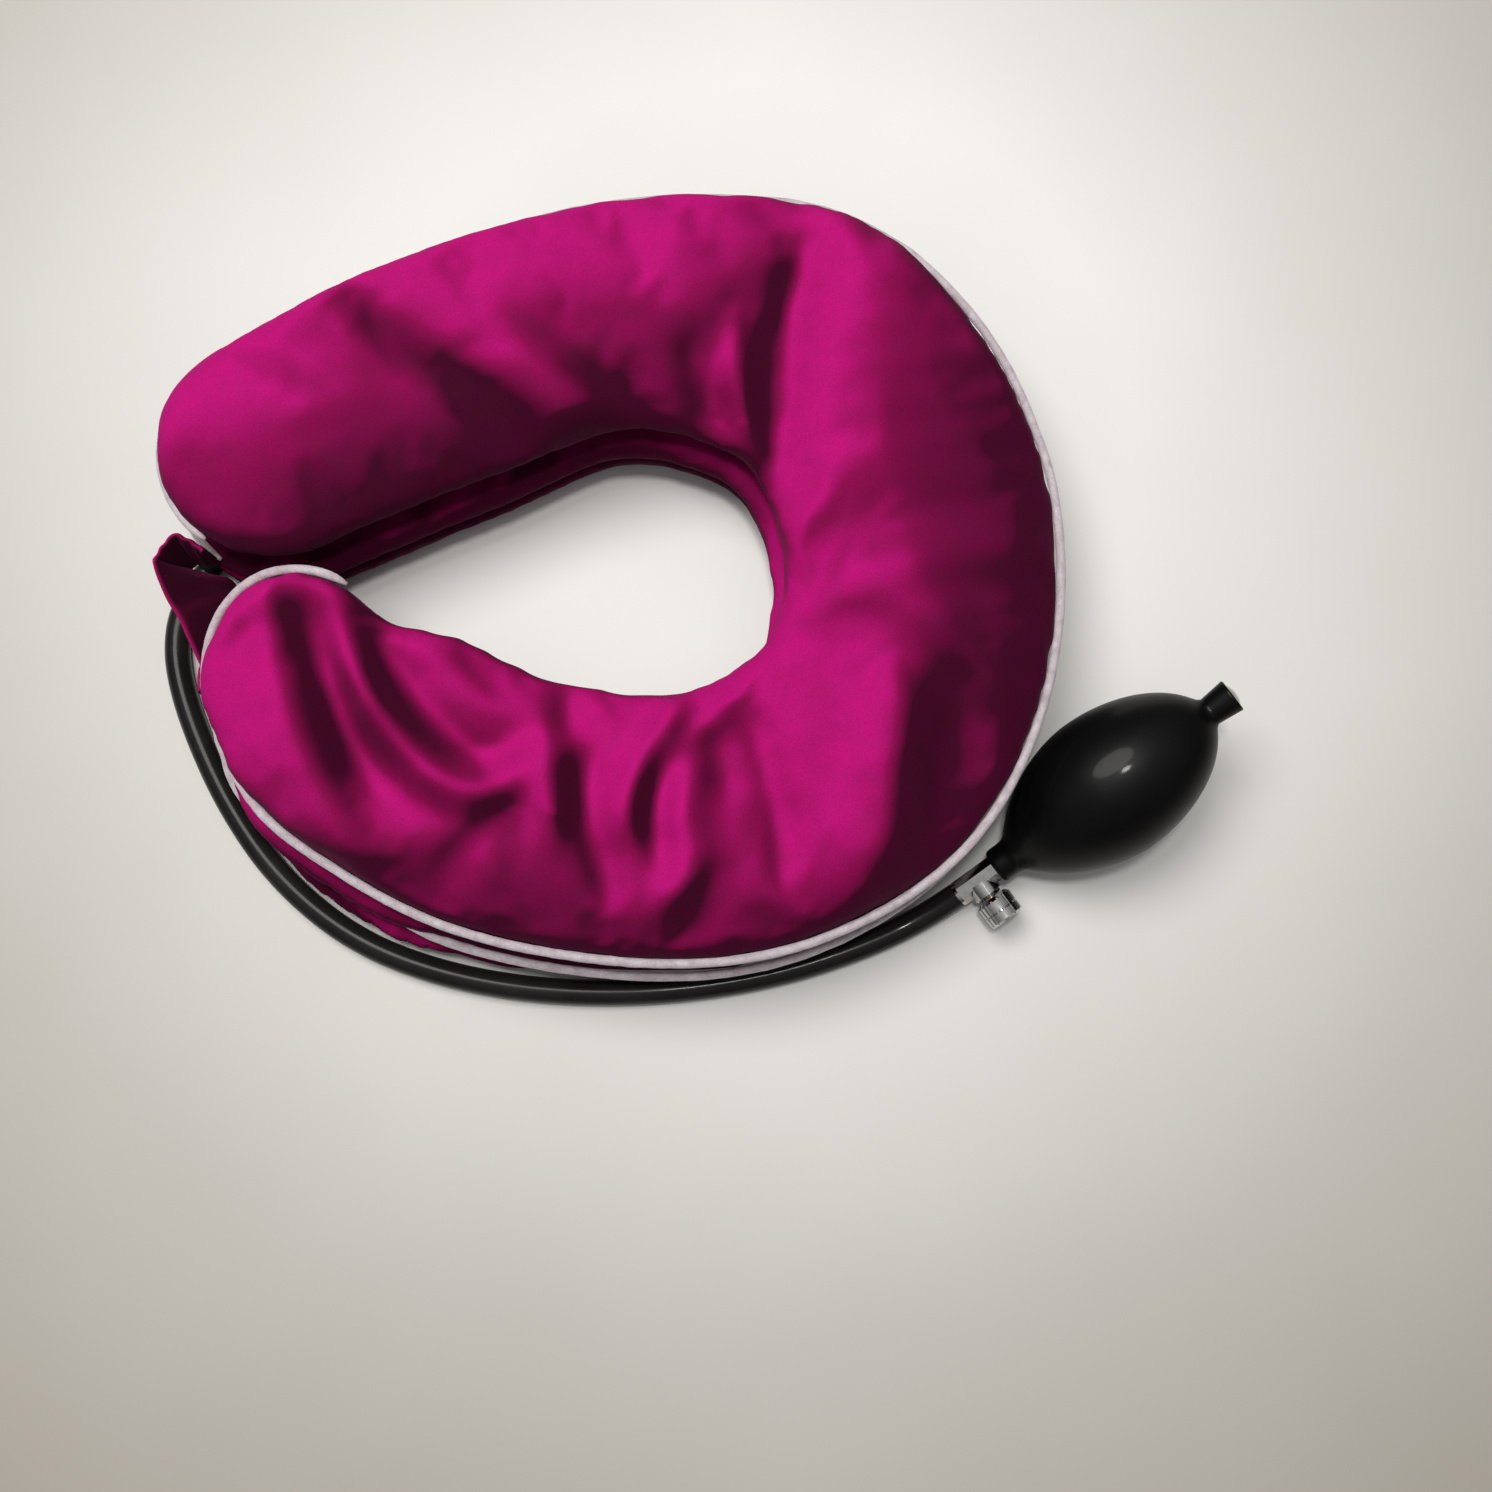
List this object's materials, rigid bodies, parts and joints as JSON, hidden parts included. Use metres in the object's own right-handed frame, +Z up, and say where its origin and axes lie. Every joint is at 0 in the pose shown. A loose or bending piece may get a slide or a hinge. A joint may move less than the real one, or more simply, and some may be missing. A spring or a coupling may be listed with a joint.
{
  "type": "inflatable neck collar",
  "caption": "U-shaped inflatable neck pillow of stacked velvet-covered air tiers with piped seams, closing strap, air hose and hand bulb with a release valve.",
  "frame": {"origin": "middle of the footprint, without the free hose, on the surface the collar lies on", "axes": "+X from the collar's open end towards its back and the pump, +Z up out of the table through the stacked tiers, +Y completes a right-handed frame"},
  "size_m": [0.3724, 0.2806, 0.0561],
  "materials": {
    "cover_fabric": "short-pile velvet",
    "piping": "brushed corded piping",
    "bladder_film": "calendered film, matte",
    "grommet_metal": "pressed eyelet",
    "hose_rubber": "smooth satin rubber",
    "strap_fabric": "short-pile velvet, folded and stitched",
    "hook_tape": "woven hook tape",
    "loop_tape": "brushed loop tape",
    "chrome": "polished plating",
    "brass": "turned",
    "seal_rubber": "moulded",
    "ball_steel": "ground",
    "bulb_rubber": "satin moulded rubber"
  },
  "bodies": {
    "base": {"bottom_lower_cover": "cover_fabric", "bottom_piping": "piping", "bottom_bladder": "bladder_film", "hose_port": "bladder_film", "hose_grommet": "grommet_metal", "hose": "hose_rubber", "valve_body": "chrome", "outlet_seat": "brass", "bulb_wall": "bulb_rubber", "intake_plug": "chrome", "intake_retainer": "brass"},
    "middle_tier": {"bottom_upper_cover": "cover_fabric", "middle_lower_cover": "cover_fabric", "middle_piping": "piping", "middle_bladder": "bladder_film", "lower_air_link": "bladder_film"},
    "top_tier": {"middle_upper_cover": "cover_fabric", "top_lower_cover": "cover_fabric", "top_piping": "piping", "top_bladder": "bladder_film", "upper_air_link": "bladder_film", "strap_anchor": "strap_fabric", "loop_patch": "loop_tape"},
    "top_cover": {"top_upper_cover": "cover_fabric"},
    "strap": {"closure_strap": "strap_fabric", "hook_patch": "hook_tape"},
    "bulb_squeeze": {"bulb_squeeze_wall": "bulb_rubber"},
    "release_seal": {"stem_seal": "seal_rubber"},
    "release_screw": {"release_knob": "chrome", "needle_stem": "brass"},
    "outlet_check": {"outlet_ball": "ball_steel"},
    "intake_check": {"intake_ball": "ball_steel"}
  },
  "joints": [
    {"name": "bottom_tier_inflate", "type": "slide", "parent": "base", "child": "middle_tier", "axis": [0, 0, 1], "range_m": [0, 0.025], "deforming": ["bottom_bladder"]},
    {"name": "middle_tier_inflate", "type": "slide", "parent": "middle_tier", "child": "top_tier", "axis": [0, 0, 1], "range_m": [0, 0.025], "deforming": ["middle_bladder"]},
    {"name": "top_tier_inflate", "type": "slide", "parent": "top_tier", "child": "top_cover", "axis": [0, 0, 1], "range_m": [0, 0.025], "deforming": ["top_bladder"]},
    {"name": "strap_open", "type": "hinge", "parent": "top_tier", "child": "strap", "pos_m": [-0.18, 0.005, 0.03], "axis": [0, 0, -1], "range_deg": [0, 100]},
    {"name": "bulb_press", "type": "slide", "parent": "base", "child": "bulb_squeeze", "axis": [0.25, 0.1816, -0.9511], "range_m": [0, 0.018], "stiffness_N_per_m": 600, "springref_m": -0.001, "deforming": ["bulb_squeeze_wall"]},
    {"name": "release_lift", "type": "slide", "parent": "base", "child": "release_seal", "axis": [0.5878, -0.809, 0], "range_m": [0, 0.00106]},
    {"name": "release_turn", "type": "hinge", "parent": "release_seal", "child": "release_screw", "pos_m": [0.0999, -0.1009, 0.0113], "axis": [0.5878, -0.809, 0], "range_deg": [0, 540]},
    {"name": "outlet_ball_lift", "type": "slide", "parent": "base", "child": "outlet_check", "axis": [0.7694, 0.559, 0.309], "range_m": [0, 0.0011]},
    {"name": "intake_ball_lift", "type": "slide", "parent": "base", "child": "intake_check", "axis": [0.7694, 0.559, 0.309], "range_m": [0, 0.0015]}
  ],
  "couplings": [
    {"joint": "middle_tier_inflate", "follows": "bottom_tier_inflate", "ratio": 1},
    {"joint": "top_tier_inflate", "follows": "bottom_tier_inflate", "ratio": 1},
    {"joint": "release_lift", "follows": "release_turn", "m_per_rad": 0.00011141}
  ]
}
